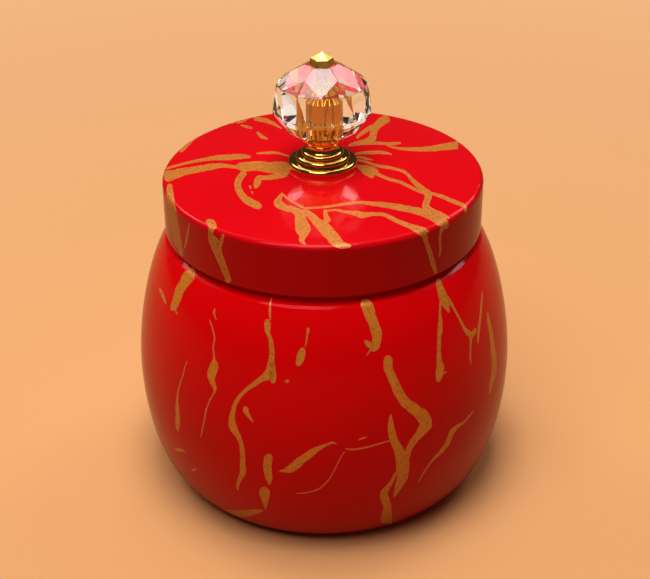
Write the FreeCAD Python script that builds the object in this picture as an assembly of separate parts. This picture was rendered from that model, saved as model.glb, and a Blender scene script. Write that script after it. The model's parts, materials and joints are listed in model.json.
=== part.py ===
import FreeCAD
import Part
import math
import os

Vector = FreeCAD.Vector

# Round lidded jar for dry fruit, in millimetres. The origin is the centre of the foot on the
# table, +Z is up, and every piece is turned about Z.

# Jar: a turned wooden pot, hollowed through its mouth
jar_height = 86.4
belly_radius = 59.7
belly_height = 39.8
belly_wall = 8.0
foot_radius = 44.4
foot_ring_width = 12.4
foot_recess_depth = 1.6
rim_radius = 46.3
collar_height = 3.0
bevel_width = 3.0
bevel_round = 2.3
rim_wall = 5.8
rim_inner_round = 0.8
mouth_depth = 13.0
floor_thickness = 10.0
floor_radius = 33.0

# Handles of the jar's outline, as shares of the spans that they follow
foot_out_share = 0.744
foot_up_share = 0.022
belly_below_share = 0.412
belly_above_share = 0.34
shoulder_out_share = 0.558
shoulder_down_share = 0.189
bevel_rise_share = 0.62
floor_out_share = 0.8
hollow_below_share = 0.55
hollow_above_share = 0.42
throat_down_share = 0.3

# Lid: a thick turned disc with a spigot that drops into the mouth
lid_overhang = 2.7
lid_side_height = 16.1
lid_dome_rise = 2.6
lid_edge_round = 1.6
lid_base_round = 0.35
lid_shadow_gap = 0.8
lid_top_thickness = 11.0
spigot_depth = 9.0
spigot_clearance = 0.7
spigot_wall = 6.0
spigot_chamfer = 0.8
ceiling_round = 3.0

# Seal: a soft ring with two lips, in a groove round the spigot
groove_width = 4.6
groove_depth = 2.6
seal_clearance = 0.3
seal_lip_count = 2

# Knob base: a plated rosette of three stepped rings, a waisted neck and a cup, with a peg that
# stands in the crystal's socket
flange_radius = 10.6
flange_height = 2.0
middle_ring_radius = 8.3
middle_ring_height = 1.6
top_ring_radius = 6.5
top_ring_height = 1.4
ring_round = 1.1
neck_foot_radius = 5.3
neck_radius = 4.7
neck_height = 4.3
neck_waist_share = 0.45
cup_radius = 6.6
cup_lip_height = 0.6
peg_radius = 4.1
peg_height = 13.5
peg_chamfer_share = 0.84
peg_clearance = 0.1
knob_seat_margin = 1.0

# Knob crystal: rows of corners from the seat up to the shoulder. Each row is its radius as a
# share of the crystal's radius, its height as a share of the crystal's height, and its turn as a
# share of the angle between two corners. Rows turned alike are joined by four-sided facets, and
# the others by triangles. The crown's rows, up to the table, have half as many corners. The twist
# is how far round the crystal was screwed on, as a share of the angle between two corners.
crystal_radius = 15.2
crystal_height = 22.8
crown_facet_count = 6
crystal_twist_share = -0.06
crystal_row_shares = [
    (0.45, 0.0, 0.0),
    (0.755, 0.15, 0.0),
    (1.0, 0.39, 0.5),
    (0.89, 0.745, 0.0),
]
crown_row_shares = [
    (0.61, 0.9),
    (0.31, 1.0),
]

# Knob tip: a small faceted cap with a point
tip_radius = 3.9
tip_shoulder_radius = 3.3
tip_collar_height = 2.0
tip_point_height = 1.9
tip_facet_count = 6
tip_turn_share = 0.5
tip_bore_share = 0.85

# Fastening: one rod through the whole knob, with a washer and a nut in the lid's hollow
rod_radius = 2.0
rod_chamfer = 0.4
rod_tail = 1.2
rod_clearance = 0.2
thread_clearance = 0.05
washer_radius = 6.0
washer_thickness = 1.0
nut_across_flats = 7.0
nut_height = 3.2
nut_side_count = 6

# Sizes that follow from the ones above
mouth_radius = rim_radius - rim_wall
lid_radius = rim_radius + lid_overhang
spigot_radius = mouth_radius - spigot_clearance
lid_hollow_radius = spigot_radius - spigot_wall
rod_hole_radius = rod_radius + rod_clearance
knob_seat_radius = flange_radius + knob_seat_margin
facet_count = 2 * crown_facet_count
lid_base_z = jar_height + lid_shadow_gap
lid_top_z = lid_base_z + lid_side_height + lid_dome_rise
ceiling_z = lid_top_z - lid_top_thickness
seal_z = jar_height - spigot_depth / 2
crystal_z = lid_top_z + flange_height + middle_ring_height + top_ring_height + neck_height
peg_top_z = crystal_z + peg_height
tip_z = crystal_z + crystal_height
rod_top_z = tip_z + tip_bore_share * tip_collar_height
rod_base_z = ceiling_z - washer_thickness - nut_height - rod_tail


def point(radius, height):
    return Vector(radius, 0, height)


def line(start, end):
    return Part.LineSegment(start, end).toShape()


def bezier(*poles):
    curve = Part.BezierCurve()
    curve.setPoles(list(poles))
    return curve.toShape()


def arc_about(centre, start, end):
    # The shorter arc from start to end on the circle round centre
    middle = (start - centre) + (end - centre)
    middle.normalize()
    return Part.Arc(start, centre + middle * (start - centre).Length, end).toShape()


def turned(edges):
    # A solid of revolution about Z from a closed outline in the XZ plane
    face = Part.Face(Part.Wire(edges))
    return face.revolve(Vector(0, 0, 0), Vector(0, 0, 1), 360)


def cylinder(radius, low, high):
    return Part.makeCylinder(radius, high - low, Vector(0, 0, low))


def ring_points(radius, height, count, turn_share):
    step = 2 * math.pi / count
    angles = [step * (index + turn_share) for index in range(count)]
    return [Vector(radius * math.sin(a), -radius * math.cos(a), height) for a in angles]


def facet(*corners):
    return Part.Face(Part.makePolygon(list(corners) + [corners[0]]))


def facets_between(lower, upper, lower_turn, upper_turn):
    # Facets round one row: four-sided where the two rings are turned alike, else triangles
    count = len(lower)
    faces = []
    for index in range(count):
        after = (index + 1) % count
        if lower_turn == upper_turn:
            faces.append(facet(lower[index], lower[after], upper[after], upper[index]))
        elif lower_turn < upper_turn:
            faces.append(facet(lower[index], lower[after], upper[index]))
            faces.append(facet(lower[after], upper[after], upper[index]))
        else:
            faces.append(facet(lower[index], lower[after], upper[after]))
            faces.append(facet(lower[index], upper[after], upper[index]))
    return faces


def crown_facets(lower, upper):
    # Each crown corner stands over every second corner of the lower ring. A large triangle hangs
    # from each edge of the crown, between pairs of small ones.
    faces = []
    for index, corner in enumerate(upper):
        before = lower[2 * index]
        under = lower[2 * index + 1]
        after = lower[(2 * index + 2) % len(lower)]
        faces.append(facet(before, corner, upper[index - 1]))
        faces.append(facet(before, under, corner))
        faces.append(facet(under, after, corner))
    return faces


def closed_solid(faces):
    solid = Part.makeSolid(Part.makeShell(faces))
    if solid.Volume < 0:
        solid.reverse()
    return solid


def jar_body():
    inner_radius = belly_radius - belly_wall
    foot_span = belly_radius - foot_radius
    shoulder_radius = rim_radius + bevel_width
    shoulder_span = belly_radius - shoulder_radius
    upper_span = jar_height - collar_height - belly_height
    throat_z = jar_height - mouth_depth
    recess_radius = foot_radius - foot_ring_width

    recess_centre = point(0, foot_recess_depth)
    recess_edge = point(recess_radius - foot_recess_depth, foot_recess_depth)
    ring_inside = point(recess_radius, 0)
    foot = point(foot_radius, 0)
    belly = point(belly_radius, belly_height)
    shoulder = point(shoulder_radius, jar_height - collar_height)
    shoulder_handle = point(shoulder_out_share * shoulder_span, -shoulder_down_share * upper_span)
    rim = point(rim_radius, jar_height)
    rim_inside = point(mouth_radius + rim_inner_round, jar_height)
    mouth = point(mouth_radius, jar_height - rim_inner_round)
    rim_centre = point(mouth_radius + rim_inner_round, jar_height - rim_inner_round)
    throat = point(mouth_radius, throat_z)
    hollow = point(inner_radius, belly_height)
    floor_edge = point(floor_radius, floor_thickness)
    floor_centre = point(0, floor_thickness)

    # The shoulder rolls over into a bevel that runs up under the lid to a low collar
    shoulder_square = Vector(-shoulder_handle.z, 0, shoulder_handle.x)
    bevel_square = Vector(bevel_rise_share, 0, 1)
    shoulder_square.normalize()
    bevel_square.normalize()
    bevel_centre = shoulder - shoulder_square * bevel_round
    bevel_edge = bevel_centre + bevel_square * bevel_round
    bevel_run = bevel_edge.x - rim_radius
    collar_foot = point(rim_radius, bevel_edge.z + bevel_rise_share * bevel_run)

    return turned([
        line(recess_centre, recess_edge),
        line(recess_edge, ring_inside),
        line(ring_inside, foot),
        bezier(
            foot,
            foot + point(foot_out_share * foot_span, foot_up_share * belly_height),
            belly - point(0, belly_below_share * belly_height),
            belly,
        ),
        bezier(
            belly,
            belly + point(0, belly_above_share * upper_span),
            shoulder + shoulder_handle,
            shoulder,
        ),
        arc_about(bevel_centre, shoulder, bevel_edge),
        line(bevel_edge, collar_foot),
        line(collar_foot, rim),
        line(rim, rim_inside),
        arc_about(rim_centre, rim_inside, mouth),
        line(mouth, throat),
        bezier(
            throat,
            throat - point(0, throat_down_share * (throat_z - belly_height)),
            hollow + point(0, hollow_above_share * (throat_z - belly_height)),
            hollow,
        ),
        bezier(
            hollow,
            hollow - point(0, hollow_below_share * (belly_height - floor_thickness)),
            floor_edge + point(floor_out_share * (inner_radius - floor_radius), 0),
            floor_edge,
        ),
        line(floor_edge, floor_centre),
        line(floor_centre, recess_centre),
    ])


def lid():
    # The dome is level at the knob's seat, and its edge round meets it without a crease
    dome_span = lid_radius - knob_seat_radius
    dome_radius = (dome_span ** 2 + lid_dome_rise ** 2) / (2 * lid_dome_rise)
    dome_centre = point(knob_seat_radius, lid_top_z - dome_radius)
    reach = dome_span - lid_edge_round
    rise = math.sqrt((dome_radius - lid_edge_round) ** 2 - reach ** 2)
    edge_centre = dome_centre + point(reach, rise)
    outward = edge_centre - dome_centre
    outward.normalize()
    dome_end = dome_centre + outward * dome_radius
    side_top = edge_centre + point(lid_edge_round, 0)

    base_centre = point(lid_radius - lid_base_round, lid_base_z + lid_base_round)
    side_base = base_centre + point(lid_base_round, 0)
    base_edge = base_centre - point(0, lid_base_round)
    land_step = point(rim_radius, lid_base_z)
    land_edge = point(rim_radius, jar_height)
    spigot_root = point(spigot_radius, jar_height)
    groove_high = point(spigot_radius, seal_z + groove_width / 2)
    groove_low = point(spigot_radius, seal_z - groove_width / 2)
    groove_in = point(groove_depth, 0)
    spigot_z = jar_height - spigot_depth
    spigot_side = point(spigot_radius, spigot_z + spigot_chamfer)
    spigot_outside = point(spigot_radius - spigot_chamfer, spigot_z)
    spigot_inside = point(lid_hollow_radius, spigot_z)
    wall_top = point(lid_hollow_radius, ceiling_z - ceiling_round)
    corner_centre = point(lid_hollow_radius - ceiling_round, ceiling_z - ceiling_round)
    ceiling_edge = corner_centre + point(0, ceiling_round)
    hole_low = point(rod_hole_radius, ceiling_z)
    hole_high = point(rod_hole_radius, lid_top_z)
    seat_edge = point(knob_seat_radius, lid_top_z)

    return turned([
        line(hole_high, seat_edge),
        arc_about(dome_centre, seat_edge, dome_end),
        arc_about(edge_centre, dome_end, side_top),
        line(side_top, side_base),
        arc_about(base_centre, side_base, base_edge),
        line(base_edge, land_step),
        line(land_step, land_edge),
        line(land_edge, spigot_root),
        line(spigot_root, groove_high),
        line(groove_high, groove_high - groove_in),
        line(groove_high - groove_in, groove_low - groove_in),
        line(groove_low - groove_in, groove_low),
        line(groove_low, spigot_side),
        line(spigot_side, spigot_outside),
        line(spigot_outside, spigot_inside),
        line(spigot_inside, wall_top),
        arc_about(corner_centre, wall_top, ceiling_edge),
        line(ceiling_edge, hole_low),
        line(hole_low, hole_high),
    ])


def lid_seal():
    inner_radius = spigot_radius - groove_depth + seal_clearance
    lip_radius = mouth_radius - seal_clearance
    height = groove_width - 2 * seal_clearance
    lip_height = height / seal_lip_count
    low_z = seal_z - height / 2
    lip_foot_radius = lip_radius - lip_height / 2
    edges = [line(point(inner_radius, low_z), point(lip_foot_radius, low_z))]
    for index in range(seal_lip_count):
        start = point(lip_foot_radius, low_z + index * lip_height)
        crest = point(lip_radius, start.z + lip_height / 2)
        end = point(lip_foot_radius, start.z + lip_height)
        edges.append(Part.Arc(start, crest, end).toShape())
    high_z = low_z + height
    edges.append(line(point(lip_foot_radius, high_z), point(inner_radius, high_z)))
    edges.append(line(point(inner_radius, high_z), point(inner_radius, low_z)))
    return turned(edges)


def knob_base():
    rings = [
        (flange_radius, flange_height),
        (middle_ring_radius, middle_ring_height),
        (top_ring_radius, top_ring_height),
    ]
    corner = point(rod_hole_radius, lid_top_z)
    edges = []
    start = corner
    base_z = lid_top_z
    for radius, height in rings:
        foot = point(radius, base_z)
        centre = point(radius - ring_round, base_z + height - ring_round)
        side_top = centre + point(ring_round, 0)
        crown = centre + point(0, ring_round)
        edges.append(line(start, foot))
        edges.append(line(foot, side_top))
        edges.append(arc_about(centre, side_top, crown))
        start = crown
        base_z += height
    neck_foot = point(neck_foot_radius, base_z)
    waist = point(neck_radius, base_z + neck_waist_share * neck_height)
    lip_foot = point(cup_radius, crystal_z - cup_lip_height)
    lip_top = point(cup_radius, crystal_z)
    peg_foot = point(peg_radius, crystal_z)
    peg_chamfer = peg_chamfer_share * (peg_radius - rod_hole_radius)
    peg_side = point(peg_radius, peg_top_z - peg_chamfer)
    peg_edge = point(peg_radius - peg_chamfer, peg_top_z)
    hole_top = point(rod_hole_radius, peg_top_z)
    edges.append(line(start, neck_foot))
    edges.append(Part.Arc(neck_foot, waist, lip_foot).toShape())
    edges.append(line(lip_foot, lip_top))
    edges.append(line(lip_top, peg_foot))
    edges.append(line(peg_foot, peg_side))
    edges.append(line(peg_side, peg_edge))
    edges.append(line(peg_edge, hole_top))
    edges.append(line(hole_top, corner))
    return turned(edges)


def knob_crystal():
    rows = []
    for radius_share, height_share, turn_share in crystal_row_shares:
        height = crystal_z + height_share * crystal_height
        turn = turn_share + crystal_twist_share
        corners = ring_points(radius_share * crystal_radius, height, facet_count, turn)
        rows.append((corners, turn_share))
    crown_turn = (1 + crystal_twist_share) * crown_facet_count / facet_count
    crown, table = [
        ring_points(
            radius_share * crystal_radius,
            crystal_z + height_share * crystal_height,
            crown_facet_count,
            crown_turn,
        )
        for radius_share, height_share in crown_row_shares
    ]
    faces = [facet(*rows[0][0]), facet(*table)]
    for (lower, lower_turn), (upper, upper_turn) in zip(rows, rows[1:]):
        faces += facets_between(lower, upper, lower_turn, upper_turn)
    faces += crown_facets(rows[-1][0], crown)
    faces += facets_between(crown, table, crown_turn, crown_turn)
    socket = cylinder(peg_radius + peg_clearance, crystal_z, peg_top_z + peg_clearance)
    bore = cylinder(rod_hole_radius, crystal_z, tip_z)
    return closed_solid(faces).cut(socket).cut(bore)


def knob_tip():
    shoulder_z = tip_z + tip_collar_height
    base = ring_points(tip_radius, tip_z, tip_facet_count, tip_turn_share)
    shoulder = ring_points(tip_shoulder_radius, shoulder_z, tip_facet_count, tip_turn_share)
    apex = Vector(0, 0, shoulder_z + tip_point_height)
    faces = [facet(*base)]
    faces += facets_between(base, shoulder, tip_turn_share, tip_turn_share)
    for index in range(tip_facet_count):
        faces.append(facet(shoulder[index], shoulder[(index + 1) % tip_facet_count], apex))
    return closed_solid(faces).cut(cylinder(rod_radius + thread_clearance, tip_z, rod_top_z))


def knob_rod():
    rod = cylinder(rod_radius, rod_base_z, rod_top_z)
    ends = [edge for edge in rod.Edges if edge.Closed]
    return rod.makeChamfer(rod_chamfer, ends)


def knob_washer():
    low_z = ceiling_z - washer_thickness
    disc = cylinder(washer_radius, low_z, ceiling_z)
    return disc.cut(cylinder(rod_hole_radius, low_z, ceiling_z))


def knob_nut():
    high_z = ceiling_z - washer_thickness
    low_z = high_z - nut_height
    corner_radius = nut_across_flats / 2 / math.cos(math.pi / nut_side_count)
    corners = ring_points(corner_radius, low_z, nut_side_count, 0)
    prism = facet(*corners).extrude(Vector(0, 0, nut_height))
    # The lower corners are turned off by a cone that starts at the flats
    trim = corner_radius - nut_across_flats / 2
    blank = cylinder(corner_radius, low_z, high_z)
    rim = [edge for edge in blank.Edges if edge.Closed and edge.CenterOfMass.z < high_z]
    blank = blank.makeChamfer(trim, rim)
    return prism.common(blank).cut(cylinder(rod_radius + thread_clearance, low_z, high_z))


def main():
    os.makedirs("parts", exist_ok=True)
    pieces = {
        "jar_body": jar_body(),
        "lid": lid(),
        "lid_seal": lid_seal(),
        "knob_base": knob_base(),
        "knob_crystal": knob_crystal(),
        "knob_tip": knob_tip(),
        "knob_rod": knob_rod(),
        "knob_washer": knob_washer(),
        "knob_nut": knob_nut(),
    }
    for name, shape in pieces.items():
        shape.exportStep("parts/" + name + ".step")
        box = shape.BoundBox
        print(
            name,
            "solids", len(shape.Solids),
            "valid", shape.isValid(),
            "volume", round(shape.Volume, 1),
            "z", round(box.ZMin, 2), round(box.ZMax, 2),
        )


main()
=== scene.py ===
import bpy
import json
import math
import random
from mathutils import Matrix, Vector, noise

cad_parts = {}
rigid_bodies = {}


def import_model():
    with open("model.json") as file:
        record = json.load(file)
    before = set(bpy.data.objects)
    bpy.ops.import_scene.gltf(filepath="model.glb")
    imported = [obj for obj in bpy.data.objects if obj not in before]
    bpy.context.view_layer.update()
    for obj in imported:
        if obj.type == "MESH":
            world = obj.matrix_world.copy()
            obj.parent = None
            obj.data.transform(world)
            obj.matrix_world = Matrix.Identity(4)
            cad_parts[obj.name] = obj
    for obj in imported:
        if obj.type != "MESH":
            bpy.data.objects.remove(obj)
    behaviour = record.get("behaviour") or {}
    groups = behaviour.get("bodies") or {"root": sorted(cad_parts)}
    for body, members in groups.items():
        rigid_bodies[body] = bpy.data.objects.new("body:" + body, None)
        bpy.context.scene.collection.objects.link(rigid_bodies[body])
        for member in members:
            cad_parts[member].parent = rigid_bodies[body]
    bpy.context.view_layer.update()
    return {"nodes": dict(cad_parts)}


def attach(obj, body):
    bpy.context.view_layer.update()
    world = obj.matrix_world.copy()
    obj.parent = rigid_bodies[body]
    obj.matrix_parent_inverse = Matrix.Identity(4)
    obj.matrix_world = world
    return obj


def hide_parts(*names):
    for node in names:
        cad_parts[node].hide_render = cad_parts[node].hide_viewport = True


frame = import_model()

# Round lidded jar for dry fruit: red enamelled wood with gold marbling and a crystal knob.
# Everything is in metres, +Z up, with the foot's centre on the table at the origin.

mm = 0.001
nodes = frame["nodes"]
print("frame loaded:", ", ".join(sorted(nodes)))


def linear(hexCode):
    # sRGB hex to the linear colour that a shader wants
    parts = [int(hexCode[i:i + 2], 16) / 255 for i in (1, 3, 5)]
    return [p / 12.92 if p <= 0.04045 else ((p + 0.055) / 1.055) ** 2.4 for p in parts] + [1.0]


def newMaterial(name):
    material = bpy.data.materials.new(name)
    material.use_nodes = True
    material.node_tree.nodes.clear()
    return material


def addNode(material, kind, inputs=None, **settings):
    # One node with its settings. An input that is a socket gets a link, anything else a value.
    node = material.node_tree.nodes.new(kind)
    for key, value in settings.items():
        setattr(node, key, value)
    for key, value in (inputs or {}).items():
        if isinstance(value, bpy.types.NodeSocket):
            material.node_tree.links.new(value, node.inputs[key])
        else:
            node.inputs[key].default_value = value
    return node


def wear(piece, material):
    piece.data.materials.clear()
    piece.data.materials.append(material)


def selectOnly(piece):
    bpy.ops.object.select_all(action="DESELECT")
    piece.select_set(True)
    bpy.context.view_layer.objects.active = piece


# Camera, at the photograph's height and distance
cameraSetup = {
    "imageWidth": 650,
    "imageHeight": 579,
    "focalPixels": 1400.0,
    "sensorWidth": 36.0,
    "aim": (0.384 * mm, 0.0, 61.508 * mm),
    "distance": 449.28 * mm,
    "elevation": 30.068,
    "roll": -0.45,
    "clip": (0.01, 20.0),
}


def makeCamera(setup):
    data = bpy.data.cameras.new("camera")
    data.sensor_width = setup["sensorWidth"]
    data.lens = setup["focalPixels"] / setup["imageWidth"] * setup["sensorWidth"]
    data.clip_start, data.clip_end = setup["clip"]
    camera = bpy.data.objects.new("camera", data)
    bpy.context.scene.collection.objects.link(camera)
    tilt = math.radians(setup["elevation"])
    back = Vector((0, -math.cos(tilt), math.sin(tilt)))
    camera.location = Vector(setup["aim"]) + back * setup["distance"]
    roll = Matrix.Rotation(math.radians(setup["roll"]), 3, "Z")
    turn = Matrix.Rotation(math.pi / 2 - tilt, 3, "X") @ roll
    camera.rotation_euler = turn.to_euler()
    bpy.context.scene.camera = camera
    return camera.location.copy(), turn


eye, eyeTurn = makeCamera(cameraSetup)


def pixelRay(x, y):
    # Direction from the camera through a pixel of the photograph
    across = (x - cameraSetup["imageWidth"] / 2) / cameraSetup["focalPixels"]
    up = (cameraSetup["imageHeight"] / 2 - y) / cameraSetup["focalPixels"]
    return (eyeTurn @ Vector((across, up, -1))).normalized()


# Stage: a pale peach sheet, a bright lamp and a wide soft panel overhead, a wing lamp behind on each side,
# and a softbox in front on the left
stageSetup = {
    "floorSize": 6.0,
    "floorColour": "#E8A76D",
    "bounceColour": "#8F6040",
    "mirrorColour": "#BC8450",
    "farColour": "#FABE8A",
    "fade": (0.12, 0.65),
    "paperRoughness": 0.9,
    "paperSpecular": 0.1,
    "lamps": {
        "overhead": {
            "place": (0.0, -0.03, 1.0), "aim": (0.0, -0.03, 0.0), "size": (0.34, 0.5), "radiance": 9.0},
        "panel": {
            "place": (0.0, 0.55, 1.05), "aim": (0.0, 0.55, 0.0), "size": (2.6, 0.8), "radiance": 0.7},
        "leftWing": {
            "place": (-0.84, 0.8, 1.05), "aim": (0.0, 0.0, 0.1), "size": (0.5, 0.45), "radiance": 3.6},
        "rightWing": {
            "place": (0.84, 0.8, 1.05), "aim": (0.0, 0.0, 0.1), "size": (0.5, 0.45), "radiance": 3.6},
        "softbox": {
            "place": (-0.2, -0.37, 0.93), "aim": (0.0, 0.0, 0.06), "size": (0.6, 0.6), "radiance": 4.0},
    },
    "roomColour": "#353231",
    "roomThroughGlass": "#FFF1E4",
}


def peachPaper(setup):
    # The camera and the glass see the pale sheet; what it throws on the jar and shows in the gloss is dimmer
    paper = newMaterial("peach paper, matt")
    path = addNode(paper, "ShaderNodeLightPath")
    thrown = addNode(paper, "ShaderNodeMix", {
        "Factor": path.outputs["Is Diffuse Ray"], "A": linear(setup["floorColour"]),
        "B": linear(setup["bounceColour"])}, data_type="RGBA")
    tone = addNode(paper, "ShaderNodeMix", {
        "Factor": path.outputs["Is Glossy Ray"], "A": thrown.outputs["Result"],
        "B": linear(setup["mirrorColour"])}, data_type="RGBA")
    shader = addNode(paper, "ShaderNodeBsdfPrincipled", {
        "Base Color": tone.outputs["Result"], "Roughness": setup["paperRoughness"],
        "Specular IOR Level": setup["paperSpecular"]})
    # Away from the lamps it keeps an even tone up to the horizon
    place = addNode(paper, "ShaderNodeTexCoord")
    away = addNode(paper, "ShaderNodeVectorMath", {0: place.outputs["Object"]}, operation="LENGTH")
    far = addNode(paper, "ShaderNodeMapRange", {
        "Value": away.outputs["Value"], "From Min": setup["fade"][0], "From Max": setup["fade"][1]})
    seen = addNode(paper, "ShaderNodeMath", {
        0: path.outputs["Is Camera Ray"], 1: path.outputs["Is Transmission Ray"]}, operation="MAXIMUM")
    share = addNode(paper, "ShaderNodeMath", {
        0: far.outputs["Result"], 1: seen.outputs[0]}, operation="MULTIPLY")
    even = addNode(paper, "ShaderNodeEmission", {"Color": linear(setup["farColour"])})
    sheet = addNode(paper, "ShaderNodeMixShader", {
        "Fac": share.outputs[0], 1: shader.outputs["BSDF"], 2: even.outputs["Emission"]})
    addNode(paper, "ShaderNodeOutputMaterial", {"Surface": sheet.outputs["Shader"]})
    return paper


def makeFloor(setup):
    bpy.ops.object.select_all(action="DESELECT")
    bpy.ops.mesh.primitive_plane_add(size=setup["floorSize"])
    floor = bpy.context.object
    floor.name = "floor"
    wear(floor, peachPaper(setup))


def makeLamps(lamps):
    for name, lamp in lamps.items():
        light = bpy.data.lights.new(name, "AREA")
        light.shape = "RECTANGLE"
        light.size, light.size_y = lamp["size"]
        light.energy = lamp["radiance"] * math.pi * light.size * light.size_y
        holder = bpy.data.objects.new(name, light)
        holder.location = lamp["place"]
        back = Vector(lamp["place"]) - Vector(lamp["aim"])
        holder.rotation_euler = back.to_track_quat("Z", "Y").to_euler()
        bpy.context.scene.collection.objects.link(holder)


def makeRoom(setup):
    # The room is dim for the enamel and pale where the camera or the glass looks out at it
    world = bpy.data.worlds.new("room")
    world.use_nodes = True
    path = addNode(world, "ShaderNodeLightPath")
    air = addNode(world, "ShaderNodeMix", {
        "Factor": path.outputs["Is Transmission Ray"], "A": linear(setup["roomColour"]),
        "B": linear(setup["roomThroughGlass"])}, data_type="RGBA")
    view = addNode(world, "ShaderNodeMix", {
        "Factor": path.outputs["Is Camera Ray"], "A": air.outputs["Result"],
        "B": linear(setup["farColour"])}, data_type="RGBA")
    background = world.node_tree.nodes["Background"]
    world.node_tree.links.new(view.outputs["Result"], background.inputs["Color"])
    bpy.context.scene.world = world


makeFloor(stageSetup)
makeLamps(stageSetup["lamps"])
makeRoom(stageSetup)
bpy.context.scene.view_settings.view_transform = "Standard"
print("camera and stage ready")


# Red alkyd enamel, sprayed over turned wood and polished: deep even colour, wet gloss, faint orange peel.
# Inside, the wood is bare under clear varnish: pale, with the grain of the blank running straight across.
enamelLook = {
    "jarRed": "#FF0409",
    # The lid wears a darker copy of the jar's red: painted shade for the lid, which the lamp above lights
    # more than the jar
    "shadedLidRed": "#DB0610",
    # The lid's upright side wears a deeper red, which is painted shade on the skirt
    "shadedSideRed": "#DA030A",
    "cloudShade": 0.9,
    "roughness": 0.09,
    "specular": 0.24,
    "gleam": "#FF98A0",
    "cloudSize": 25.0 * mm,
    "cloudDetail": 2.0,
    "peelSize": 3.0 * mm,
    "peelDetail": 1.0,
    "peelDepth": 0.004 * mm,
    "wood": "#C9975F",
    "woodDark": "#9C6A3A",
    "grainSize": 3.2 * mm,
    "grainStretch": 0.09,
    "grainDetail": 5.0,
    "grainDistortion": 0.6,
    "woodRoughness": 0.38,
    "lidWoodRadius": 46.35 * mm,
    "lidWoodTop": 95.5 * mm,
    "lidShadeTop": 102.4 * mm,  # below this the lid's side wears the deeper red, painted shade
    "jarShadeTop": -1000.0 * mm,  # under the foot, so the jar has no painted shade on its side and is one red all over
    "shadeBlend": 1.0 * mm,
    "jarFloorTop": 20.0 * mm,
    "towardsAxis": -1.0 * mm,  # radius times the normal's outward part
    "facesUp": 0.5,
    "facesDown": -0.9,
}


def bareWoodInJar(material, place, normal, look):
    # 1 where the wall faces the axis, on the floor inside and under the foot
    spot = addNode(material, "ShaderNodeSeparateXYZ", {"Vector": place})
    facing = addNode(material, "ShaderNodeSeparateXYZ", {"Vector": normal})
    flat = addNode(material, "ShaderNodeVectorMath", {0: place, 1: (1, 1, 0)}, operation="MULTIPLY")
    outward = addNode(material, "ShaderNodeVectorMath", {
        0: flat.outputs["Vector"], 1: normal}, operation="DOT_PRODUCT")
    inner = addNode(material, "ShaderNodeMath", {
        0: outward.outputs["Value"], 1: look["towardsAxis"]}, operation="LESS_THAN")
    upward = addNode(material, "ShaderNodeMath", {
        0: facing.outputs["Z"], 1: look["facesUp"]}, operation="GREATER_THAN")
    low = addNode(material, "ShaderNodeMath", {
        0: spot.outputs["Z"], 1: look["jarFloorTop"]}, operation="LESS_THAN")
    inside = addNode(material, "ShaderNodeMath", {
        0: upward.outputs[0], 1: low.outputs[0]}, operation="MULTIPLY")
    under = addNode(material, "ShaderNodeMath", {
        0: facing.outputs["Z"], 1: look["facesDown"]}, operation="LESS_THAN")
    either = addNode(material, "ShaderNodeMath", {
        0: inner.outputs[0], 1: inside.outputs[0]}, operation="MAXIMUM")
    return addNode(material, "ShaderNodeMath", {
        0: either.outputs[0], 1: under.outputs[0]}, operation="MAXIMUM")


def bareWoodInLid(material, place, normal, look):
    # 1 on the spigot and in the hollow that it holds
    flat = addNode(material, "ShaderNodeVectorMath", {0: place, 1: (1, 1, 0)}, operation="MULTIPLY")
    radius = addNode(material, "ShaderNodeVectorMath", {0: flat.outputs["Vector"]}, operation="LENGTH")
    spot = addNode(material, "ShaderNodeSeparateXYZ", {"Vector": place})
    near = addNode(material, "ShaderNodeMath", {
        0: radius.outputs["Value"], 1: look["lidWoodRadius"]}, operation="LESS_THAN")
    low = addNode(material, "ShaderNodeMath", {
        0: spot.outputs["Z"], 1: look["lidWoodTop"]}, operation="LESS_THAN")
    return addNode(material, "ShaderNodeMath", {0: near.outputs[0], 1: low.outputs[0]}, operation="MULTIPLY")


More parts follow.
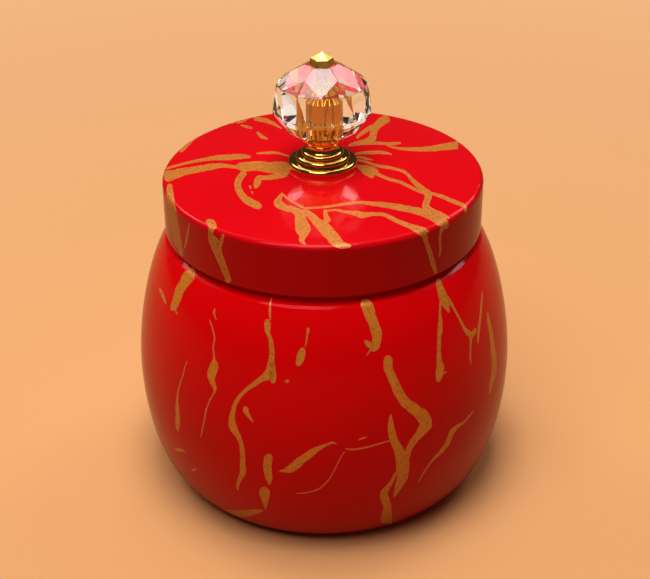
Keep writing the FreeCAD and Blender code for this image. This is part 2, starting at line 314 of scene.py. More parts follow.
def redEnamel(name, look, red, bareWood, shadeTop):
    material = newMaterial(name)
    place = addNode(material, "ShaderNodeTexCoord")
    spot = place.outputs["Object"]
    cloud = addNode(material, "ShaderNodeTexNoise", {
        "Vector": spot, "Scale": 1 / look["cloudSize"], "Detail": look["cloudDetail"]})
    deep = [part * look["cloudShade"] for part in linear(red)[:3]] + [1.0]
    clouded = addNode(material, "ShaderNodeMix", {
        "Factor": cloud.outputs["Fac"], "A": linear(red), "B": deep}, data_type="RGBA")
    # Low on the lid's side the colour turns to the deeper red, which is painted shade
    height = addNode(material, "ShaderNodeSeparateXYZ", {"Vector": spot})
    side = addNode(material, "ShaderNodeMapRange", {
        "Value": height.outputs["Z"], "From Min": shadeTop, "From Max": shadeTop - look["shadeBlend"]})
    coat = addNode(material, "ShaderNodeMix", {
        "Factor": side.outputs["Result"], "A": clouded.outputs["Result"], "B": linear(look["shadedSideRed"])},
        data_type="RGBA")

    stretch = addNode(material, "ShaderNodeMapping", {
        "Vector": spot, "Scale": (look["grainStretch"], 1.0, 1.0)})
    grain = addNode(material, "ShaderNodeTexNoise", {
        "Vector": stretch.outputs["Vector"], "Scale": 1 / look["grainSize"],
        "Detail": look["grainDetail"], "Distortion": look["grainDistortion"]})
    wood = addNode(material, "ShaderNodeMix", {
        "Factor": grain.outputs["Fac"], "A": linear(look["woodDark"]), "B": linear(look["wood"])},
        data_type="RGBA")

    bare = bareWood(material, spot, place.outputs["Normal"], look)
    colour = addNode(material, "ShaderNodeMix", {
        "Factor": bare.outputs[0], "A": coat.outputs["Result"], "B": wood.outputs["Result"]},
        data_type="RGBA")
    rough = addNode(material, "ShaderNodeMapRange", {
        "Value": bare.outputs[0], "To Min": look["roughness"], "To Max": look["woodRoughness"]})
    peel = addNode(material, "ShaderNodeTexNoise", {
        "Vector": spot, "Scale": 1 / look["peelSize"], "Detail": look["peelDetail"]})
    bump = addNode(material, "ShaderNodeBump", {"Height": peel.outputs["Fac"], "Distance": look["peelDepth"]})
    shader = addNode(material, "ShaderNodeBsdfPrincipled", {
        "Base Color": colour.outputs["Result"], "Roughness": rough.outputs["Result"],
        "Specular IOR Level": look["specular"], "Specular Tint": linear(look["gleam"]),
        "Normal": bump.outputs["Normal"]})
    addNode(material, "ShaderNodeOutputMaterial", {"Surface": shader.outputs["BSDF"]})
    return material


wear(nodes["jar_body"], redEnamel(
    "red enamel on wood, sprayed and polished", enamelLook, enamelLook["jarRed"], bareWoodInJar,
    enamelLook["jarShadeTop"]))
wear(nodes["lid"], redEnamel(
    "red enamel on wood, sprayed and polished, lid", enamelLook, enamelLook["shadedLidRed"], bareWoodInLid,
    enamelLook["lidShadeTop"]))
print("enamel on jar and lid")


# Gold plate on brass, polished: mirror bright, warm in its shadows, a little rubbed.
# The peg inside the crystal has upright flutes that grip the bond.
plateLook = {
    "gold": "#F6C464",
    "roughness": 0.09,
    "tipRoughness": 0.45,
    "pegGold": "#C9822A",
    "rubbed": 0.2,
    "rubSize": 4.0 * mm,
    "rubDetail": 4.0,
    "rubBand": (0.4, 0.75),
    "pegFoot": 115.4 * mm,
    "noPeg": 1000.0 * mm,  # above the whole piece
    "ribCount": 8,
    "ribDepth": 0.5 * mm,
}


def goldPlate(look):
    material = newMaterial("gold plate on brass, polished")
    place = addNode(material, "ShaderNodeTexCoord")
    rub = addNode(material, "ShaderNodeTexNoise", {
        "Vector": place.outputs["Object"], "Scale": 1 / look["rubSize"], "Detail": look["rubDetail"]})
    rough = addNode(material, "ShaderNodeMapRange", {
        "Value": rub.outputs["Fac"], "From Min": look["rubBand"][0], "From Max": look["rubBand"][1],
        "To Min": look["roughness"], "To Max": look["rubbed"]})
    spot = addNode(material, "ShaderNodeSeparateXYZ", {"Vector": place.outputs["Object"]})
    bearing = addNode(material, "ShaderNodeMath", {
        0: spot.outputs["Y"], 1: spot.outputs["X"]}, operation="ARCTAN2")
    turns = addNode(material, "ShaderNodeMath", {
        0: bearing.outputs[0], 1: look["ribCount"]}, operation="MULTIPLY")
    rib = addNode(material, "ShaderNodeMath", {0: turns.outputs[0]}, operation="SINE")
    onPeg = addNode(material, "ShaderNodeMath", {
        0: spot.outputs["Z"], 1: look["pegFoot"]}, operation="GREATER_THAN")
    flute = addNode(material, "ShaderNodeMath", {
        0: rib.outputs[0], 1: onPeg.outputs[0]}, operation="MULTIPLY")
    bump = addNode(material, "ShaderNodeBump", {"Height": flute.outputs[0], "Distance": look["ribDepth"]})
    colour = addNode(material, "ShaderNodeMix", {
        "Factor": onPeg.outputs[0], "A": linear(look["gold"]), "B": linear(look["pegGold"])},
        data_type="RGBA")
    shader = addNode(material, "ShaderNodeBsdfPrincipled", {
        "Base Color": colour.outputs["Result"], "Metallic": 1.0, "Roughness": rough.outputs["Result"],
        "Normal": bump.outputs["Normal"]})
    addNode(material, "ShaderNodeOutputMaterial", {"Surface": shader.outputs["BSDF"]})
    return material


wear(nodes["knob_base"], goldPlate(plateLook))
# The tip is buffed less, and has no peg
tipLook = dict(plateLook, pegFoot=plateLook["noPeg"], roughness=plateLook["tipRoughness"])
wear(nodes["knob_tip"], goldPlate(tipLook))


# Brass rod, drawn and threaded: yellow metal with the dull gleam of a rolled thread
rodLook = {
    "brass": "#DDA548",
    "roughness": 0.24,
    "pitch": 0.7 * mm,
    "threadDepth": 0.2 * mm,
    "bandLength": math.pi / 10,  # one band of the wave texture at scale 1
}


def threadedBrass(look):
    material = newMaterial("brass rod, rolled thread")
    place = addNode(material, "ShaderNodeTexCoord")
    thread = addNode(material, "ShaderNodeTexWave", {
        "Vector": place.outputs["Object"], "Scale": look["bandLength"] / look["pitch"]},
        wave_type="BANDS", bands_direction="Z", wave_profile="TRI")
    bump = addNode(material, "ShaderNodeBump", {
        "Height": thread.outputs["Fac"], "Distance": look["threadDepth"]})
    shader = addNode(material, "ShaderNodeBsdfPrincipled", {
        "Base Color": linear(look["brass"]), "Metallic": 1.0, "Roughness": look["roughness"],
        "Normal": bump.outputs["Normal"]})
    addNode(material, "ShaderNodeOutputMaterial", {"Surface": shader.outputs["BSDF"]})
    return material


wear(nodes["knob_rod"], threadedBrass(rodLook))


# Zinc-plated steel, passivated: grey-white metal with a faint cloudy spangle
zincLook = {"zinc": "#C9CCCD", "shade": "#A9ADB0", "roughness": 0.34, "spangle": 1.2 * mm}


def zincSteel(look):
    material = newMaterial("steel, zinc plated and passivated")
    place = addNode(material, "ShaderNodeTexCoord")
    spangle = addNode(material, "ShaderNodeTexVoronoi", {
        "Vector": place.outputs["Object"], "Scale": 1 / look["spangle"]})
    colour = addNode(material, "ShaderNodeMix", {
        "Factor": spangle.outputs["Distance"], "A": linear(look["zinc"]), "B": linear(look["shade"])},
        data_type="RGBA")
    shader = addNode(material, "ShaderNodeBsdfPrincipled", {
        "Base Color": colour.outputs["Result"], "Metallic": 1.0, "Roughness": look["roughness"]})
    addNode(material, "ShaderNodeOutputMaterial", {"Surface": shader.outputs["BSDF"]})
    return material


zinc = zincSteel(zincLook)
for name in ("knob_washer", "knob_nut"):
    wear(nodes[name], zinc)


# Silicone, moulded: milky and slightly see-through, with a dry soft shine
siliconeLook = {
    "white": "#E6E2DA",
    "cloud": "#D6D1C6",
    "cloudSize": 6.0 * mm,
    "cloudDetail": 2.0,
    "roughness": 0.42,
    "milkiness": 0.3,
    "spread": (1.0, 0.9, 0.8),
    "depth": 1.5 * mm,
}


def milkySilicone(look):
    material = newMaterial("silicone, moulded")
    place = addNode(material, "ShaderNodeTexCoord")
    cloud = addNode(material, "ShaderNodeTexNoise", {
        "Vector": place.outputs["Object"], "Scale": 1 / look["cloudSize"], "Detail": look["cloudDetail"]})
    colour = addNode(material, "ShaderNodeMix", {
        "Factor": cloud.outputs["Fac"], "A": linear(look["white"]), "B": linear(look["cloud"])},
        data_type="RGBA")
    shader = addNode(material, "ShaderNodeBsdfPrincipled", {
        "Base Color": colour.outputs["Result"], "Roughness": look["roughness"],
        "Subsurface Weight": look["milkiness"], "Subsurface Radius": look["spread"],
        "Subsurface Scale": look["depth"]})
    addNode(material, "ShaderNodeOutputMaterial", {"Surface": shader.outputs["BSDF"]})
    return material


wear(nodes["lid_seal"], milkySilicone(siliconeLook))
print("metals and seal ready")


# Crystal glass, cut and polished: clear, with sharp facets that flash. It is bonded to the peg and
# the rod, so here it is one solid stone, with the CAD stone's facets and no air in its bores.
crystalLook = {
    "tint": "#FFFDFB",
    "ior": 1.62,
    "roughness": 0.0,
    "clearness": 0.98,
    "edge": 0.2 * mm,
    "sameFacet": 0.002,  # radians between triangles that make one facet
}


def solidStone(cadStone, look):
    selectOnly(cadStone)
    bpy.ops.object.duplicate(linked=False)
    stone = bpy.context.object
    bpy.ops.object.parent_clear(type="CLEAR_KEEP_TRANSFORM")
    bpy.ops.object.transform_apply(location=True, rotation=True, scale=True)
    bpy.ops.object.mode_set(mode="EDIT")
    bpy.ops.mesh.select_all(action="SELECT")
    bpy.ops.mesh.convex_hull()
    bpy.ops.mesh.select_all(action="SELECT")
    bpy.ops.mesh.dissolve_limited(angle_limit=look["sameFacet"])
    bpy.ops.mesh.normals_make_consistent(inside=False)
    bpy.ops.object.mode_set(mode="OBJECT")
    edge = stone.modifiers.new("edge", "BEVEL")
    edge.width = look["edge"]
    edge.segments = 1
    bpy.ops.object.modifier_apply(modifier=edge.name)
    bpy.ops.object.shade_flat()
    stone.name = "crystal_stone"
    stone.data.name = "crystal_stone"
    print("stone", len(stone.data.polygons), "facets")
    return stone


def cutCrystal(look):
    material = newMaterial("crystal glass, cut and polished")
    shader = addNode(material, "ShaderNodeBsdfPrincipled", {
        "Base Color": linear(look["tint"]), "Roughness": look["roughness"], "IOR": look["ior"],
        "Transmission Weight": look["clearness"]})
    addNode(material, "ShaderNodeOutputMaterial", {"Surface": shader.outputs["BSDF"]})
    return material


glass = cutCrystal(crystalLook)
wear(nodes["knob_crystal"], glass)
stone = solidStone(nodes["knob_crystal"], crystalLook)
wear(stone, glass)
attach(stone, "lid")
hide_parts("knob_crystal")
print("crystal ready")


# Gold marbling, laid on by hand: each vein is a trail of (x, y, width) in pixels of the photograph,
# thrown from the camera onto the lid or the jar
lidVeins = {
    "upperBand": [(166, 168.8, 2), (180, 164.8, 2.2), (194, 161.5, 2.6), (206, 159.5, 3.2),
                  (214, 158.2, 4.5), (228, 157.5, 5.5), (243, 156.6, 4.6), (251, 157.2, 1.5)],
    "mainBand": [(164, 176.5, 13), (172, 175.3, 10), (184, 172, 7.4), (200, 169, 6.2), (210, 167.2, 6),
                 (222, 165.8, 4.2), (232, 166.8, 3.2), (241, 167.2, 3.4)],
    "patchUpper": [(236, 166.5, 5), (245, 167, 9), (257, 166.2, 9.4), (269, 167.5, 10.4),
                   (281, 168.6, 13), (290, 169.6, 15)],
    "patchLower": [(287, 174, 6), (275, 176.7, 5.2), (265.5, 178, 4.2), (259.5, 178.2, 5.2),
                   (257, 183, 7), (255.3, 188.5, 2.6)],
    "hook": [(245.5, 172, 6), (240, 178, 6.2), (237.6, 185, 6.6), (240, 192.5, 6.6), (246, 199.5, 7),
             (255, 204.6, 7.6), (261.5, 207, 4.4)],
    "crumbA": [(249, 186, 1.4), (250.4, 187.2, 2), (250.6, 189.4, 1)],
    "crumbB": [(251, 191.6, 1), (252.2, 192.6, 1.7), (253, 194, 0.8)],
    "thinBack": [(256.5, 153.6, 1.2), (267, 153, 2.4), (276, 153, 2.2), (289, 156.2, 1)],
    "backLeft": [(253.5, 118.9, 2.6), (258, 119.3, 4), (265.5, 120.6, 4.2), (272.7, 123.5, 3.4),
                 (282, 128.5, 1)],
    "backDash": [(240.5, 125.3, 1), (247, 127, 2.6), (252.6, 128.7, 1)],
    "backDashLow": [(256.8, 132, 1.6), (261.5, 136.4, 3.6), (268, 139.3, 1.2)],
    "forkStem": [(282.4, 193, 1.4), (279.5, 199, 5.6), (278.3, 203.3, 8.4), (285, 207.8, 6.2),
                 (293, 209.6, 6.2), (299, 214.2, 9), (301.2, 222, 12.5), (302.8, 228.4, 14.6),
                 (303, 232.5, 12.4), (302.8, 236.7, 7), (301.9, 240.5, 5), (305.8, 245, 1.4)],
    "forkThin": [(282.5, 194, 1.6), (288.5, 199.5, 2), (297, 204.5, 2.4), (303.5, 207.8, 2.8)],
    "forkSecond": [(302.5, 210, 4.6), (311.5, 216.5, 7), (317, 222, 8.6), (324.6, 228.4, 12),
                   (330.3, 234.8, 11.4), (335.5, 240.5, 11.6), (341.5, 244.8, 7.6), (351, 246.4, 2.6)],
    "forkThird": [(324.6, 209.5, 2.4), (326, 216, 4.6), (328.4, 222.5, 7.2)],
    "longRight": [(303.5, 208.4, 2), (316, 208, 2), (330, 206.5, 2.4), (340, 204.8, 2.6),
                  (350, 203.4, 2.8), (360, 202.8, 3), (370, 203.5, 3.6), (380, 204.6, 4.6),
                  (391, 206, 5.6), (401.5, 208, 6.2), (412, 210, 6.6), (422, 212.5, 7.2),
                  (430, 215.6, 8), (437, 219, 9.4), (443, 223.2, 9.6), (446, 229, 4.6)],
    "secondRight": [(326, 211, 1.8), (336, 210.3, 2), (343, 211.6, 2.6), (350, 212.8, 3),
                    (355.5, 213.6, 4.8), (361, 214.9, 6.2), (367, 214.8, 4.4), (374, 214.2, 3.4),
                    (383, 214.6, 3.2), (390, 217.5, 3.8), (396.5, 221, 4), (404, 224, 4.4),
                    (411, 226.7, 5), (417, 229.5, 7), (422, 232.3, 7.4), (424.8, 236.5, 5),
                    (426, 242, 4.2), (428.2, 248, 4.4), (430.8, 256, 4.6), (433.4, 265, 4.4),
                    (435.5, 272, 3.2), (436.6, 277, 1.6)],
    "secondSpur": [(418.5, 227.6, 2.6), (424, 229.5, 3.4), (429, 232, 1.2)],
    "leaf": [(356.8, 166.2, 2.2), (362, 168, 6.2), (367, 170.6, 9.8), (370.4, 173.4, 9),
             (372.6, 178, 3)],
    "leafTip": [(366, 168.6, 4), (372, 169.4, 5), (378.5, 171.9, 2)],
    "leafThin": [(374, 172.4, 3.6), (381, 176, 3), (390, 179.5, 2.8), (399.5, 182.2, 2.8),
                 (408, 186, 3), (416, 190, 2.8), (423, 193, 2.6)],
    "rightThin": [(430, 193.2, 2.4), (440, 196, 3.4), (450, 200, 3.8), (458, 203.3, 3.8),
                  (464.4, 206.6, 3.6), (465.6, 212.5, 1.6)],
    "rightArc": [(356.5, 160, 1.6), (366, 162, 2.4), (376, 165.6, 2.6), (386, 167.3, 2.8),
                 (396, 169.3, 2.6), (404, 172, 2.8), (409, 175.8, 3), (412, 180, 3.6),
                 (418, 185.3, 4.8), (424, 190.5, 5.8), (428.2, 195, 7.6), (427.3, 200.5, 6),
                 (425.8, 205.5, 6.4), (428.5, 209.3, 6.4), (435, 212.2, 5), (442, 215, 4),
                 (449.5, 218.2, 1.4)],
    "arcTwin": [(356.4, 157, 1.2), (364, 158.2, 2.2), (373, 160.3, 0.9)],
    "backRight": [(388.5, 117.2, 9), (381, 122.5, 8), (375, 128, 7.4), (373.4, 134, 6.6),
                  (372, 138.6, 7), (366, 141.5, 5.4), (358, 143.1, 3.8), (350, 144.9, 2)],
    "backRightWing": [(373, 126, 4), (366.5, 130.2, 4.4), (361, 134, 3.6), (356.5, 138.4, 2)],
    "backRightThin": [(348, 145.7, 1.2), (356, 144.6, 2.4), (365, 143.4, 3), (374, 143.2, 3),
                      (385, 143.8, 2.8), (394, 143.8, 3), (401, 143.2, 1.6)],
    "farRight": [(387, 145.6, 0.9), (396, 148.2, 2), (408, 149.2, 3.2), (420, 149.5, 4.2),
                 (431, 148.8, 5.2), (441, 147.5, 6.4), (451, 146.2, 7.4), (458, 145.6, 7),
                 (464, 147, 3.6)],
    "midRight": [(355, 154.2, 2), (365, 153, 3), (376, 152.5, 3.2), (384, 153, 2.8),
                 (392, 154.4, 1.2)],
    "skirtStar": [(206.5, 220.5, 3), (210, 222.6, 7), (213, 225.4, 7.6), (216.5, 228, 3)],
    "skirtStarLow": [(211.5, 222, 5), (211.3, 229, 5), (210.2, 236, 4.6)],
    "skirtLeft": [(209.4, 235, 4.4), (213.3, 241, 8.6), (217, 249.5, 8.8), (220.5, 259, 7),
                  (225.3, 271, 6), (229.3, 282.5, 5)],
    "skirtProng": [(223.4, 234.5, 2), (221.8, 240, 3.6), (219.8, 247, 4.4)],
    "skirtFarLeft": [(169.6, 184, 4), (170, 192, 6.4), (171.4, 205, 7.4), (174, 222, 8),
                     (177.6, 240, 7), (182.6, 256, 2.6)],
    "skirtNearLeft": [(189.4, 223, 1), (187.6, 235, 2.2), (184.6, 249, 1.2)],
    "skirtThin": [(442.6, 228, 4), (440.6, 233, 2.2), (439.8, 241, 2), (440.3, 250, 1.8),
                  (439, 257, 0.9)],
}
jarVeins = {
    "leftShoulder": [(194, 268, 4), (189.2, 275.5, 11.6), (184, 283.6, 10), (179.8, 290.5, 9),
                     (177, 299, 8), (174.2, 306.6, 7), (173.4, 310.8, 5)],
    "leftChip": [(175.6, 310.6, 1.4), (177, 313, 1.2), (177.6, 314.6, 0.8)],
    "leftFar": [(159.6, 288, 2), (162.6, 296, 2.8), (166, 304.5, 1.2)],
    "leftTick": [(214.8, 308.6, 1.6), (214.2, 312.5, 2), (214.9, 316, 1.4), (216.6, 320, 0.8)],
    "leftThread": [(209.5, 319.5, 0.9), (212.6, 328.5, 1.3), (214.6, 337.3, 1.4), (213.4, 346, 1.4),
                   (214, 355, 1.6), (214, 360, 3.2), (214.3, 364.6, 8), (213.2, 369.6, 9.6),
                   (211.7, 374.6, 8.4), (211.8, 379.5, 6.2), (213.4, 384.5, 4.6), (215.3, 389, 3.2),
                   (213.5, 394, 1.6), (209.6, 401, 1.5), (206.2, 410, 1.5), (204.4, 420, 1.5),
                   (202.6, 429, 1.4), (200.8, 437.4, 0.9)],
    "outerLeft": [(187.2, 361, 0.9), (184.8, 368, 1), (182.9, 376, 1.2), (180.3, 383, 1.2),
                  (178.5, 390, 1.5), (177.4, 399, 2), (177.3, 407, 3.4), (177.8, 414, 4.2),
                  (177.6, 421, 5), (177.9, 427, 3.6), (178.3, 431.4, 1)],
    "leftDash": [(174.2, 449.9, 1.4), (179.5, 449.6, 3.6), (185.4, 452, 1)],
    "lowDash": [(191.6, 470.8, 1), (194.3, 469.5, 2.4), (197, 468.4, 0.9)],
    "longStart": [(271.8, 297.5, 0.9), (270.4, 303.7, 1.7), (269.9, 311, 2.2), (270.3, 320.5, 1.2)],
    "longS": [(266.9, 319, 3), (267.4, 324, 6.5), (267.5, 329.8, 5.6), (268.4, 333.5, 4),
              (270.3, 338.5, 4), (271.7, 346, 4.6), (271.8, 354.7, 5.4), (271.3, 362, 6.5),
              (270.4, 369, 8.6), (268, 375, 9), (262, 378.8, 6.2), (255.5, 383.3, 5), (248, 388.5, 4),
              (240.7, 395.7, 3.8), (235.7, 403.2, 4), (233.2, 410.6, 4.6), (232, 418.5, 6),
              (232.2, 424.5, 7.4), (234.6, 430, 6.8), (238.2, 436.3, 5), (241.3, 443.6, 4.2),
              (242.6, 453.5, 4.6), (242.7, 462.2, 5.2), (243, 470.9, 6.2), (240.1, 478.4, 4.6),
              (237.7, 484.6, 3.4), (238.1, 490.5, 0.9)],
    "longFoot": [(271.6, 362, 6), (272.2, 371, 7.4), (272.9, 378.5, 6.8), (273.6, 383.4, 3.4)],
    "smallThread": [(308, 327.6, 2), (308.2, 330.6, 3.4), (307.3, 334.6, 1.8), (306.7, 340, 1.9),
                    (305.2, 347, 1.1)],
    "threadBlob": [(303.6, 347.6, 2.6), (302.4, 351, 6.5), (300.9, 356.5, 8.2), (299.3, 361, 7.6),
                   (297.6, 366, 4)],
    "dot": [(284.6, 380.7, 1.6), (287.2, 381.3, 4), (289.4, 381.6, 1.4)],
    "drop": [(244.6, 406.4, 2.6), (245.6, 409.5, 5.4), (247, 413, 4.4), (250, 417.5, 2.6),
             (253.4, 422.2, 0.9)],
    "tear": [(269, 453.8, 5), (268.6, 457, 9), (267.4, 463.5, 8.6), (267.9, 472, 7.8),
             (269.2, 479, 6.4), (269.9, 485, 1.2)],
    "tearLow": [(264.4, 487, 6), (264.4, 490.5, 11.2), (264.9, 495, 9.6), (265.2, 500.5, 6.6),
                (265.4, 505, 4), (265.7, 509.6, 0.9)],
    "footLeft": [(225, 509.2, 0.9), (234.5, 512.6, 4.6), (244.5, 513.6, 6.8), (253.5, 512.2, 5.6),
                 (263, 510.6, 1.2)],
    "slash": [(279.2, 471.3, 1.6), (284, 470.6, 3), (288, 469.8, 6.5), (292.5, 467.8, 8.4),
              (298.5, 463, 8.4), (305.4, 457.3, 7.6), (312.8, 451.8, 7), (318.5, 448.6, 4.6),
              (325.3, 445.3, 2.8), (332, 442.7, 2), (336.5, 444, 0.9)],
    "thinArc": [(296.3, 493.4, 0.7), (303, 493.2, 0.9), (309.2, 492.1, 1), (315, 490.3, 1.1),
                (320.5, 487.8, 1.2), (325, 484, 1.2), (330, 477.8, 1.1), (333.4, 472, 1.1),
                (336.3, 466.5, 1.1), (340.5, 457.9, 0.9), (345, 451.3, 0.7)],
    "thinBranch": [(345.3, 448.5, 0.9), (352, 449.6, 1.5), (362.3, 448.3, 1.5), (372.2, 446, 1.3),
                   (381, 443.2, 1.2), (390, 440.8, 1.2)],
    "faintDash": [(358.4, 440.1, 1), (362, 438.5, 1.7), (367, 436.9, 0.9)],
    "topBright": [(364.8, 299.2, 11.4), (366, 304, 11.8), (368, 309, 12), (371, 317.4, 10.6),
                  (374.2, 325, 10), (376.2, 332.3, 10.4), (377, 338.5, 9.6), (375.5, 344, 9.4),
                  (373.6, 348.6, 8.4), (373, 351.6, 5.4)],
    "topHook": [(373, 346, 8), (368.4, 344.2, 6), (364.6, 340.2, 1.8)],
    "topSpur": [(370.4, 349.6, 1.8), (368.4, 353, 1.3), (366.4, 355.8, 0.8)],
    "branchStem": [(388.7, 355.4, 4.6), (388.2, 359.5, 9), (387.9, 367, 9.2), (390.7, 374.6, 8.4),
                   (394, 382, 9), (397, 389.5, 9.6), (401.5, 397, 9.8), (407.5, 404, 10.4),
                   (415, 410, 11.5), (422, 415.5, 13), (425.5, 421, 13), (424.6, 427, 11),
                   (419, 434.5, 7.8), (413.8, 441, 6.8), (410, 447, 5.6), (408, 452.5, 6),
                   (405, 459, 8)],
    "branchArm": [(391, 414.2, 0.9), (390.7, 422, 5), (391.6, 431, 7.4), (394, 440, 8.2),
                  (397.8, 448.6, 9.4), (401.3, 456, 12.4), (402.6, 463.5, 13.2), (402.6, 471, 12.6),
                  (401.4, 478.4, 10.6), (399, 484.6, 7.4), (396.5, 490.8, 5), (394, 497, 1.4)],
    "branchFoot": [(395.6, 472.5, 2.2), (392, 481, 3.4), (388, 487, 4.4), (384, 493.5, 7.6),
                   (385, 499.5, 8.4), (387.2, 505.5, 7.8), (387, 512, 9.6), (386.5, 519.4, 11.4),
                   (386.2, 526, 11.4)],
    "rightTop": [(437.6, 278.5, 4.4), (438.8, 284, 6), (440.8, 290, 7.4), (443, 296.5, 8.8),
                 (445, 302.5, 8.4), (447, 308, 5), (449.2, 312.8, 1.2)],
    "rightStem": [(441.5, 300, 4), (440.2, 306, 2.2), (440, 313, 2.2), (440.2, 321, 3.6),
                  (440.1, 329.5, 4.6), (439.2, 338, 3.7), (438.8, 346, 3.5), (438.9, 354, 4),
                  (439.5, 361.5, 5.6), (440.2, 367.5, 7.6), (439.2, 374.5, 7), (438, 382, 4)],
    "stemSpur": [(442.3, 374.2, 1.6), (447, 371.3, 0.9)],
    "rightBranch": [(447, 297, 4), (450, 302, 3), (453.3, 307.5, 2.5), (458, 316, 2.4),
                    (463, 326, 2.6), (466.5, 331, 4.4), (470.5, 334.5, 5.6), (474, 332.5, 4),
                    (475.3, 328, 1.2)],
    "rightDrip": [(470.8, 335.5, 4.4), (470.8, 341, 2), (470.6, 349, 1.5), (470.2, 357, 1.5),
                  (470.9, 364, 0.9)],
    "rightTick": [(482.4, 291.6, 0.9), (481.4, 305, 1.6), (480.3, 317.5, 2), (479.2, 326, 2.4),
                  (478.2, 336, 2), (477.5, 343.4, 1)],
    "farRight": [(487.3, 312.6, 1.4), (489, 323.5, 3.2), (491, 333.5, 4), (492.2, 343.5, 4.6),
                 (493.5, 354.5, 5), (494, 364.5, 5), (493.3, 374.5, 4.6), (491, 384.5, 3.4),
                 (489, 394.5, 1.2)],
    "rightSlash": [(474, 410.4, 0.9), (469, 416.5, 1.3), (464.3, 421.8, 1.8), (456.8, 427, 3.6),
                   (452, 432, 5), (449.3, 438.6, 4.6), (445.6, 446, 4.2), (440.6, 452.3, 3.4),
                   (433.8, 459, 2.2), (428.2, 466, 1.6), (423.2, 473.5, 1.4), (418, 482.4, 0.9)],
}
veinSetup = {
    "step": 1.1,  # pixels between rows
    "lanes": (-1.0, -0.6, 0.0, 0.6, 1.0),  # shares of the half width
    "thinnest": 0.3,  # half width in pixels
    "roundedEnd": 0.3,  # share of the width that the tips keep
    # How far the outline strays in pixels, or as a share for ragged, and how fast from row to row.
    # Each kind reads its own layer of the noise.
    "wander": 0.2,
    "wanderPace": 0.13,
    "wanderLayer": 5.0,
    "ragged": 0.14,
    "raggedPace": 0.21,
    "raggedLayer": 3.0,
    "bite": 0.4,
    "bitePace": 0.83,
    "biteLayer": 9.0,
    "biteHalf": 2.0,  # narrower veins get smaller bites
    "seedStride": 1.7,
    # The film of paint
    "film": 0.12 * mm,
    "lift": 0.01 * mm,
    "blankSize": 10.0 * mm,
    "creaseAngle": math.radians(50),
    "longestStride": 4.0 * mm,
    "fewestRows": 3,
    # Copies on the sides that the photograph hides, strewn by a fixed seed
    "backSeed": 27,
    "backTurn": math.radians(176),
    "backSpread": math.radians(6),
    "backLift": 4.0 * mm,
    "flankTurns": (math.radians(110), math.radians(-110)),
    "flankVeins": ("smallThread", "threadBlob", "slash", "thinArc", "dot"),
    "castHeight": 8.0 * mm,
    "castReach": 20.0 * mm,
}
rng = random.Random(veinSetup["backSeed"])


def smoothTrail(points, step):
    # A soft curve through the points, in steps of about a pixel
    trail = []
    last = len(points) - 1
    for i in range(last):
        a, b, c, d = (Vector(points[max(0, min(last, i + k))]) for k in (-1, 0, 1, 2))
        count = max(2, round((c - b).xy.length / step))
        for t in (k / count for k in range(count)):
            trail.append(0.5 * (2 * b + (c - a) * t + (2 * a - 5 * b + 4 * c - d) * t ** 2
                                + (3 * b - a - 3 * c + d) * t ** 3))
    trail.append(Vector(points[-1]))
    return trail


def castTrail(carrier, points, setup, seed):
    # Rows of places on the carrier, each with the surface's normal, across the vein's ragged width
    trail = smoothTrail(points, setup["step"])
    middle = len(setup["lanes"]) // 2
    rows = []
    for k, station in enumerate(trail):
        ahead = (trail[min(k + 1, len(trail) - 1)] - trail[max(k - 1, 0)]).xy.normalized()
        side = Vector((-ahead.y, ahead.x))
        half = max(setup["thinnest"], station.z / 2)
        toEnd = min(k, len(trail) - 1 - k) * setup["step"]
        rounded = max(setup["roundedEnd"], math.sqrt(1 - (1 - min(1.0, toEnd / half)) ** 2))
        deepest = setup["bite"] * min(1.0, half / setup["biteHalf"])
        drift = setup["wander"] * noise.noise(
            Vector((seed, k * setup["wanderPace"], setup["wanderLayer"])))
        row = []
        for lane in setup["lanes"]:
            edge = math.copysign(setup["raggedLayer"], lane)
            ragged = setup["ragged"] * noise.noise(Vector((seed, k * setup["raggedPace"], edge)))
            bite = deepest * noise.noise(
                Vector((seed, k * setup["bitePace"], edge + setup["biteLayer"])))
            offset = lane * rounded * max(setup["thinnest"], half * (1 + ragged) + bite) + drift
            hit, place, normal, face = carrier.ray_cast(eye, pixelRay(*(station.xy + side * offset)))
            if hit:
                row.append((place, normal))
        full = len(row) == len(setup["lanes"])
        if full and (not rows or (row[middle][0] - rows[-1][middle][0]).length < setup["longestStride"]):
            rows.append(row)
        elif rows:
            break
    return rows


def turnTrail(carrier, rows, turn, mirror, rise, setup):
    # The same vein elsewhere on the carrier: mirrored, turned about Z and raised, set on the surface again
    spin = Matrix.Rotation(turn, 3, "Z") @ Matrix.Diagonal((-1 if mirror else 1, 1, 1))
    moved = []
    for row in rows:
        newRow = []
        for place, normal in row:
            out = spin @ normal
            start = spin @ place + Vector((0, 0, rise)) + out * setup["castHeight"]
            hit, spot, facing, face = carrier.ray_cast(start, -out, distance=setup["castReach"])
            if hit:
                newRow.append((spot, facing))
        if len(newRow) == len(row):
            moved.append(newRow)
        elif moved:
            break
    return moved


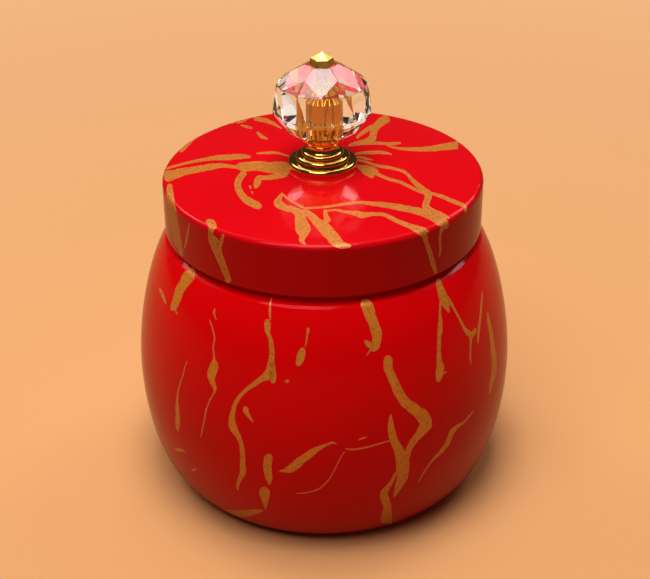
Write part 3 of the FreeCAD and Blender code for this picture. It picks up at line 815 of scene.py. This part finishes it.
def layFilm(rows, setup):
    # A thin closed skin over the rows, its outer face just proud of the enamel
    lanes = len(rows[0])
    middle = lanes // 2
    across = rows[0][-1][0] - rows[0][0][0]
    along = rows[1][middle][0] - rows[0][middle][0]
    if across.cross(along).dot(rows[0][middle][1]) < 0:
        rows = [row[::-1] for row in rows]
    bpy.ops.object.select_all(action="DESELECT")
    bpy.ops.mesh.primitive_grid_add(
        x_subdivisions=lanes - 1, y_subdivisions=len(rows) - 1, size=setup["blankSize"])
    film = bpy.context.object
    # The paint's colour wants to know how far each place is from the vein's outline
    fromEdge = film.data.attributes.new("fromEdge", "FLOAT", "POINT")
    for vertex in film.data.vertices:
        row = rows[vertex.index // lanes]
        place, normal = row[vertex.index % lanes]
        vertex.co = place + normal * setup["lift"]
        rims = (row[0][0], row[-1][0], rows[0][middle][0], rows[-1][middle][0])
        fromEdge.data[vertex.index].value = min((place - rim).length for rim in rims)
    skin = film.modifiers.new("skin", "SOLIDIFY")
    skin.thickness = setup["film"]
    skin.offset = 0.0
    bpy.ops.object.modifier_apply(modifier=skin.name)
    bpy.ops.object.shade_smooth_by_angle(angle=setup["creaseAngle"])
    return film


def layVeins(name, carrier, veins, onBack, setup):
    films = []
    for seed, (vein, points) in enumerate(veins.items()):
        rows = castTrail(carrier, points, setup, seed * setup["seedStride"])
        if len(rows) < setup["fewestRows"]:
            print("no room for vein", vein, len(rows))
            continue
        films.append(layFilm(rows, setup))
        # The sides that the photograph hides have veins of the same kind, mirrored or turned, and shifted
        turn = setup["backTurn"] + rng.uniform(-1, 1) * setup["backSpread"]
        rise = rng.uniform(-1, 1) * setup["backLift"]
        copies = [(turn, True)] if onBack(vein) else []
        if vein in setup["flankVeins"]:
            copies += [(flankTurn, False) for flankTurn in setup["flankTurns"]]
        for turn, mirror in copies:
            moved = turnTrail(carrier, rows, turn, mirror, rise, setup)
            if len(moved) >= setup["fewestRows"]:
                films.append(layFilm(moved, setup))
    bpy.ops.object.select_all(action="DESELECT")
    for film in films:
        film.select_set(True)
    bpy.context.view_layer.objects.active = films[0]
    bpy.ops.object.join()
    piece = bpy.context.object
    piece.name = name
    piece.data.name = name
    print(name, len(films), "veins", len(piece.data.polygons), "faces")
    return piece


# Gold bronze powder in lacquer, brushed on: speckled old gold, drying to a thin coral line along the edges.
# Real flakes are too fine to show, so they are drawn coarser.
goldPaintLook = {
    # The lid's gold is a darker copy of the jar's: painted shade for the lid, which the lamp above lights
    # more than the jar
    "lidGold": "#CE7624",
    "jarGold": "#F48B24",
    "flakeShade": 1.7,
    "thinShade": 0.66,
    "edge": "#F07A42",
    "edgeBand": (0.08 * mm, 0.36 * mm),
    "flakeSize": 0.4 * mm,
    "flakeDetail": 2.0,
    "flakeBand": (0.5, 0.72),
    "flakeDepth": 0.02 * mm,
    "flakeBump": 0.6,
    "thinSize": 0.9 * mm,
    "thinDetail": 4.0,
    "thinBand": (0.52, 0.72),
    "metallic": 0.24,
    "roughness": 0.38,
}


def goldPaint(name, look, gold):
    material = newMaterial(name)
    powder = linear(gold)
    flakes = [min(1.0, part * look["flakeShade"]) for part in powder]
    thinned = [part * look["thinShade"] for part in powder[:3]] + [1.0]
    place = addNode(material, "ShaderNodeTexCoord")
    flake = addNode(material, "ShaderNodeTexNoise", {
        "Vector": place.outputs["Object"], "Scale": 1 / look["flakeSize"], "Detail": look["flakeDetail"]})
    sparkle = addNode(material, "ShaderNodeMapRange", {
        "Value": flake.outputs["Fac"], "From Min": look["flakeBand"][0], "From Max": look["flakeBand"][1]})
    thin = addNode(material, "ShaderNodeTexNoise", {
        "Vector": place.outputs["Object"], "Scale": 1 / look["thinSize"], "Detail": look["thinDetail"]})
    worn = addNode(material, "ShaderNodeMapRange", {
        "Value": thin.outputs["Fac"], "From Min": look["thinBand"][0], "From Max": look["thinBand"][1]})
    base = addNode(material, "ShaderNodeMix", {
        "Factor": sparkle.outputs["Result"], "A": powder, "B": flakes}, data_type="RGBA")
    patchy = addNode(material, "ShaderNodeMix", {
        "Factor": worn.outputs["Result"], "A": base.outputs["Result"], "B": thinned}, data_type="RGBA")
    fromEdge = addNode(material, "ShaderNodeAttribute", attribute_name="fromEdge")
    rim = addNode(material, "ShaderNodeMapRange", {
        "Value": fromEdge.outputs["Fac"], "From Min": look["edgeBand"][1], "From Max": look["edgeBand"][0]})
    colour = addNode(material, "ShaderNodeMix", {
        "Factor": rim.outputs["Result"], "A": patchy.outputs["Result"], "B": linear(look["edge"])},
        data_type="RGBA")
    bump = addNode(material, "ShaderNodeBump", {
        "Height": flake.outputs["Fac"], "Distance": look["flakeDepth"], "Strength": look["flakeBump"]})
    shader = addNode(material, "ShaderNodeBsdfPrincipled", {
        "Base Color": colour.outputs["Result"], "Metallic": look["metallic"], "Roughness": look["roughness"],
        "Normal": bump.outputs["Normal"]})
    addNode(material, "ShaderNodeOutputMaterial", {"Surface": shader.outputs["BSDF"]})
    return material


# The lid's top shows in full, so only the veins of its side are repeated at the back
lidGold = layVeins(
    "gold_veins_lid", nodes["lid"], lidVeins, lambda vein: vein.startswith("skirt"), veinSetup)
jarGold = layVeins("gold_veins_jar", nodes["jar_body"], jarVeins, lambda vein: True, veinSetup)
wear(lidGold, goldPaint("gold bronze paint, brushed, lid", goldPaintLook, goldPaintLook["lidGold"]))
wear(jarGold, goldPaint("gold bronze paint, brushed", goldPaintLook, goldPaintLook["jarGold"]))
for piece, body in ((lidGold, "lid"), (jarGold, "jar")):
    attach(piece, body)
print("marbling laid")
